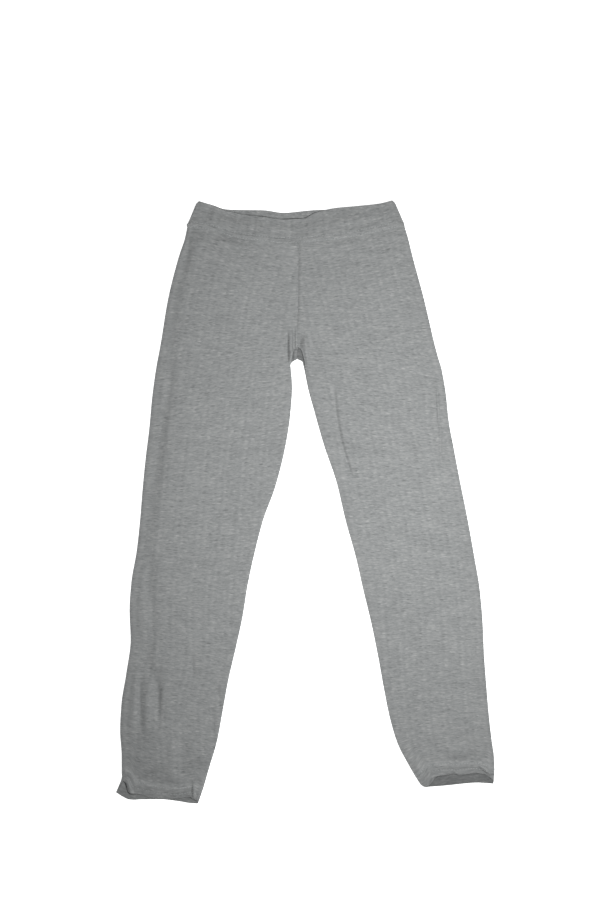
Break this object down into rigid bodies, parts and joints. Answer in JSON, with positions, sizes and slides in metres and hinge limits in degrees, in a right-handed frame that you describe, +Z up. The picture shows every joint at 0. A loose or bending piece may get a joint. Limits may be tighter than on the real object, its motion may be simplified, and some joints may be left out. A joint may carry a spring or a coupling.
{
  "type": "child's leggings laid flat",
  "caption": "Full-length jersey leggings with an elasticated casing waistband, narrow legs and turned hems, lying flat with the front up.",
  "frame": {"origin": "on the table, under the middle of the garment's outline", "axes": "+Z up from the table; +Y towards the waist; +X towards the wearer's left leg"},
  "size_m": [0.4345, 0.693, 0.01],
  "materials": {
    "leg_jersey": "grey marl knit with a soft nap",
    "waistband_jersey": "grey marl knit gathered round an elastic"
  },
  "bodies": {
    "root": {"leg_right": "leg_jersey", "leg_left": "leg_jersey", "waistband": "waistband_jersey"}
  },
  "joints": []
}
